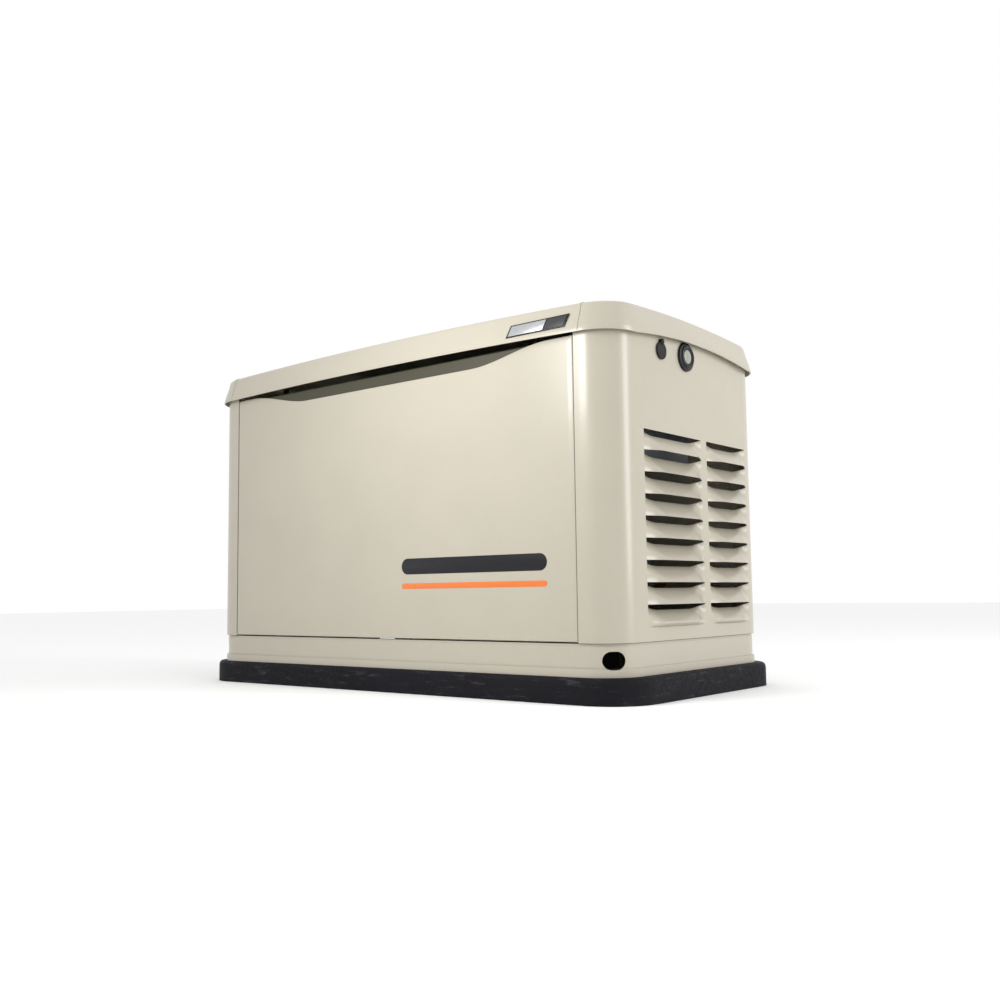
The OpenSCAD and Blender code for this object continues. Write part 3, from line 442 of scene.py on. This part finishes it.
def build_slats(side, label):
    """All pressed slats of one side, each a thin bowed sheet with gusseted ends."""
    mesh = bmesh.new()
    across, down = 36, 10
    for low, high in SLAT_COLUMNS:
        width = high - low
        for row in range(SLAT_ROWS):
            row_top = SLAT_TOP - row * SLAT_PITCH
            last = row == SLAT_ROWS - 1
            row_low = row_top - SLAT_PITCH + (0 if last else 1.2 * MM)
            sheets = []
            for thickness in (0.0, 1.6 * MM):
                grid = []
                for j in range(down + 1):
                    drop = j / down
                    line = []
                    for i in range(across + 1):
                        along = width * i / across
                        top = row_top - opening_height(along, width)
                        out = slat_depth(along, drop, width)
                        if last and drop > 0.7:
                            out *= max(0.0, (1 - drop) / 0.3) ** 0.7
                        line.append(mesh.verts.new(((BODY_X + out - thickness) * side, low + along,
                                                    top + (row_low - top) * drop)))
                    grid.append(line)
                sheets.append(grid)
            join_sheets(mesh, sheets)
    make_piece(label + "_slats", mesh, "enclosure", PAINT, smooth=28)


def join_sheets(mesh, sheets):
    """Faces two parallel grids and closes the edge between them."""
    for grid in sheets:
        for a, b in zip(grid, grid[1:]):
            for i in range(len(a) - 1):
                mesh.faces.new((a[i], a[i + 1], b[i + 1], b[i]))
    outer, inner = sheets

    def loop(grid):
        return grid[0] + [r[-1] for r in grid[1:]] + grid[-1][-2::-1] + [r[0] for r in grid[-2:0:-1]]

    first, second = loop(outer), loop(inner)
    for i in range(len(first)):
        j = (i + 1) % len(first)
        mesh.faces.new((first[i], first[j], second[j], second[i]))


# ---- front panel ----

SCOOP_DROP = 29 * MM
SCOOP_INSET = 60 * MM
SCOOP_RUN = 200 * MM


def scoop_top(x):
    """Height of the front panel's upper edge."""
    t = max(0, min(1, (FRONT_HALF - SCOOP_INSET - abs(x)) / SCOOP_RUN))
    return FRONT_HIGH[2] - SCOOP_DROP * t * t * (3 - 2 * t)


def build_front_panel():
    """The front sheet: rolled side and lower edges, and a lip that turns in behind the scoop."""
    mesh = bmesh.new()
    half = FRONT_HALF - PANEL_GAP
    front = -BODY_Y
    columns = 96
    edge = 3 * MM
    xs = [-half, -half + 0.9 * MM, -half + edge]
    xs += [-half + edge + (2 * half - 2 * edge) * i / columns for i in range(1, columns)]
    xs += [half - edge, half - 0.9 * MM, half]
    low = FRONT_LOW[2]

    def back(x):
        gone = max(0, (abs(x) - half + edge) / edge)
        return edge * (1 - math.sqrt(max(0, 1 - gone * gone)))

    rings = []
    rings.append([(x, front + back(x) + 15 * MM, low) for x in xs])
    rings.append([(x, front + back(x) + 1.2 * MM, low) for x in xs])
    rings.append([(x, front + back(x), low + 1.2 * MM) for x in xs])
    for share in (0.02, 0.15, 0.35, 0.55, 0.75, 0.9, 0.975):
        rings.append([(x, front + back(x), low + (scoop_top(x) - low) * share) for x in xs])
    rings.append([(x, front + back(x), scoop_top(x) - 2.4 * MM) for x in xs])
    rings.append([(x, front + back(x) + 0.7 * MM, scoop_top(x) - 0.7 * MM) for x in xs])
    rings.append([(x, front + back(x) + 2.4 * MM, scoop_top(x)) for x in xs])
    rings.append([(x, front + 18 * MM, scoop_top(x) - 0.5 * MM) for x in xs])
    add_rings(mesh, rings, closed=False)
    bmesh.ops.recalc_face_normals(mesh, faces=mesh.faces)
    if sum(f.normal.y * f.calc_area() for f in mesh.faces) > 0:
        bmesh.ops.reverse_faces(mesh, faces=mesh.faces)
    bmesh.ops.solidify(mesh, geom=mesh.faces[:], thickness=1.4 * MM)
    make_piece("front_sheet", mesh, "front_panel", PAINT, ["front_panel"])


def build_scoop_back():
    """The recessed strip behind the scoop, in dark olive paint that is painted shade for the shadow under the
    lid.
    """
    mesh = bmesh.new()
    low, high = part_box("front_rail")
    rings = []
    chamfer = 3 * MM
    section = [(low[1], low[2]), (low[1], high[2] - chamfer), (low[1] + chamfer, high[2]), (high[1], high[2])]
    for y, z in section:
        rings.append([(low[0] + (high[0] - low[0]) * i / 40, y, z) for i in range(41)])
    add_rings(mesh, rings, closed=False)
    bmesh.ops.recalc_face_normals(mesh, faces=mesh.faces)
    bmesh.ops.solidify(mesh, geom=mesh.faces[:], thickness=1.2 * MM)
    make_piece("scoop_back", mesh, "enclosure", SHADE_PAINTED_OLIVE, ["front_rail"])


# ---- small outer pieces ----

def build_window():
    """Stepped bezel and domed lens of the status window."""
    low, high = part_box("window_bezel")
    centre = (BODY_X, (low[1] + high[1]) / 2, (low[2] + high[2]) / 2)
    radius = (high[1] - low[1]) / 2
    r = radius / MM
    profile = [(-7.5, r - 14), (-7.5, r - 8.3), (0.0, r - 8.3), (0.05, r - 0.3), (3.6, r), (5.2, r - 0.9),
               (6.0, r - 2.4), (6.2, r - 5.2), (9.0, r - 6.4), (9.9, r - 8.0), (9.9, r - 10.2),
               (8.2, r - 12.2), (6.4, r - 14.8), (2.0, r - 15.0)]
    mesh = bmesh.new()
    turned(mesh, [(a * MM, b * MM) for a, b in profile], centre)
    make_piece("status_bezel", mesh, "enclosure", DARK_TRIM, ["window_bezel"], smooth=35)
    lens = bmesh.new()
    dome = [(2.0, r - 15.2), (6.6, r - 15.2)]
    for a in range(15, 86, 14):
        dome.append((6.6 + 2.6 * math.sin(math.radians(a)), (r - 15.2) * math.cos(math.radians(a))))
    turned(lens, [(a * MM, b * MM) for a, b in dome], centre)
    make_piece("status_lens", lens, "enclosure", LOOKS["lens"], ["window_lens"], smooth=50)


def build_lock_cover(side, label):
    """Round rubber cover with a rolled rim and a pivot nub at its top."""
    low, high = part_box(label + "_lock_cover")
    radius = (high[1] - low[1]) / 2
    centre = (BODY_X * side, (low[1] + high[1]) / 2, low[2] + radius)
    r = radius / MM
    mesh = bmesh.new()
    disc = [(1.0, r - 1.4), (1.4, r - 0.4), (2.6, r), (4.0, r - 0.3), (4.8, r - 1.4), (4.9, r - 3.2),
            (4.1, r - 4.6), (3.7, r - 6.5), (4.3, r - 10), (4.7, 3.0)]
    turned(mesh, [(a * MM, b * MM) for a, b in disc], centre, side=side)
    nub = [(1.0, 5.6), (2.0, 6.0), (6.0, 6.0), (7.4, 5.0), (7.9, 3.2)]
    pivot = (centre[0], centre[1], centre[2] + radius)
    turned(mesh, [(a * MM, b * MM) for a, b in nub], pivot, steps=32, side=side)
    body = label + "_lock_cover"
    make_piece(label + "_cover_flap", mesh, body, LOOKS["rubber"], [body])


def plate(mesh, outline, thickness, place):
    """A flat plate with a rounded face edge, from an outline in its own plane."""
    face = mesh.faces.new([mesh.verts.new(place @ Vector((x, y, 0))) for x, y in outline])
    made = bmesh.ops.extrude_face_region(mesh, geom=[face])
    moved = [g for g in made["geom"] if isinstance(g, bmesh.types.BMVert)]
    bmesh.ops.translate(mesh, verts=moved, vec=place.to_3x3() @ Vector((0, 0, thickness)))
    rim = [e for e in mesh.edges if e.verts[0] in moved and e.verts[1] in moved]
    bmesh.ops.bevel(mesh, geom=rim, offset=thickness * 0.4, segments=2, profile=0.5, affect="EDGES",
                    material=-1)


def build_badge():
    """Blank two-tone badge on the lid's front skirt."""
    low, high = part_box("badge")
    middle = Vector(((low[0] + high[0]) / 2, 0, (low[2] + high[2]) / 2))
    top = roof_at(middle.x, -LID_Y) - SHOULDER_DROP * MM
    bottom = edge_at(middle.x, -LID_Y)
    share = (middle.z - bottom) / (top - bottom)
    middle.y = -LID_Y + 14.4 * MM * share ** 1.25 - 0.1 * MM
    lean = math.atan2(14.4 * MM, top - bottom)
    place = Matrix.Translation(middle) @ Matrix.Rotation(math.pi / 2 - lean, 4, "X")
    parts = [("badge_frame", DARK_TRIM, -72, 72, 13.5, 0.9),
             ("badge_field", LOOKS["badge_metal"], -68, 18, 11, 1.5),
             ("badge_end", LOOKS["black_plastic"], 21, 68, 11, 1.5)]
    for name, material, left, right, half, depth in parts:
        mesh = bmesh.new()
        slant = half * 0.3
        outline = [(left - slant, -half), (right - slant, -half), (right + slant, half), (left + slant, half)]
        plate(mesh, [(x * MM, y * MM) for x, y in outline], depth * MM, place)
        make_piece(name, mesh, "lid", material, ["badge"] if name == "badge_frame" else ())


def build_front_mark():
    """Plain generic bars on the front panel, thin as paint."""
    centre_x, half_w = 0.252, 0.195
    front = -BODY_Y + 0.05 * MM
    bars = [("front_dark_bar", "black_plastic", DARK_TRIM, 0.268, 0.017),
            ("front_orange_bar", "orange_paint", LOOKS["orange_paint"], 0.226, 0.006)]
    for name, slot_name, material, centre_z, half_h in bars:
        mesh = bmesh.new()
        outline = []
        for cx, start in ((half_w - half_h, -90), (-half_w + half_h, 90)):
            for i in range(13):
                a = math.radians(start + 180 * i / 12)
                outline.append((cx + half_h * math.cos(a), half_h * math.sin(a)))
        upright = Matrix.Rotation(math.pi / 2, 4, "X")
        place = Matrix.Translation((centre_x, front, centre_z)) @ upright
        plate(mesh, outline, 0.2 * MM, place)
        make_piece(name, mesh, "front_panel", material)


# ---- stage ----

def add_light(name, place, aim, size, power):
    """A soft area light turned towards a point."""
    light = bpy.data.lights.new(name, "AREA")
    light.shape = "RECTANGLE"
    light.size, light.size_y = size
    light.energy = power
    holder = bpy.data.objects.new(name, light)
    holder.location = place
    holder.rotation_euler = (Vector(aim) - Vector(place)).to_track_quat("-Z", "Y").to_euler()
    bpy.context.scene.collection.objects.link(holder)


def build_stage():
    """White floor, soft studio lights and a white world, shown without tone mapping."""
    bpy.context.scene.view_settings.view_transform = "Standard"
    mesh = bmesh.new()
    bmesh.ops.create_grid(mesh, x_segments=1, y_segments=1, size=15)
    bmesh.ops.translate(mesh, verts=mesh.verts[:], vec=(0, 0, -0.0005))
    data = bpy.data.meshes.new("floor")
    mesh.to_mesh(data)
    mesh.free()
    floor = bpy.data.objects.new("floor", data)
    bpy.context.scene.collection.objects.link(floor)
    pale = surface("pale_floor", "f4f4f4", 0.9, grain=10, spread=0.005, blotch=0.005, bump=0.0)
    data.materials.append(pale)
    world = bpy.context.scene.world or bpy.data.worlds.new("studio")
    bpy.context.scene.world = world
    world.use_nodes = True
    world.node_tree.nodes["Background"].inputs["Color"].default_value = (1, 1, 1, 1)
    world.node_tree.nodes["Background"].inputs["Strength"].default_value = 1.0
    add_light("front_key", (0.22, -0.98, 0.85), (0.25, -0.3, 0.5), (0.35, 0.35), 5.5)
    add_light("right_side", (3.2, 0.9, 1.3), (0.6, 0, 0.5), (1.0, 2.2), 46)
    add_light("overhead", (0, 0.2, 3.4), (0, 0, 0.5), (3, 2), 4)


def add_camera():
    """The camera at the object's front right corner, low and looking slightly up."""
    yaw, pitch, roll = math.radians(39.085), math.radians(5.1425), math.radians(-0.6995)
    ahead = Vector((-math.sin(yaw) * math.cos(pitch), math.cos(yaw) * math.cos(pitch), math.sin(pitch)))
    right = ahead.cross(Vector((0, 0, 1))).normalized()
    up = right.cross(ahead)
    turned_right = right * math.cos(roll) + up * math.sin(roll)
    turned_up = up * math.cos(roll) - right * math.sin(roll)
    lens = bpy.data.cameras.new("camera")
    lens.lens = 37.85
    lens.sensor_width = 36
    lens.clip_start = 0.01
    holder = bpy.data.objects.new("camera", lens)
    axes = Matrix((turned_right, turned_up, -ahead)).transposed().to_4x4()
    holder.matrix_world = Matrix.Translation((1.6549, -1.9343, 0.2057)) @ axes
    bpy.context.scene.collection.objects.link(holder)
    bpy.context.scene.camera = holder


add_camera()
dress_frame()
build_pad()
build_lid()
for side, label in ((1, "right"), (-1, "left")):
    build_side_panel(side, label)
    build_slats(side, label)
    build_lock_cover(side, label)
build_front_panel()
build_scoop_back()
build_window()
build_badge()
build_front_mark()
build_stage()
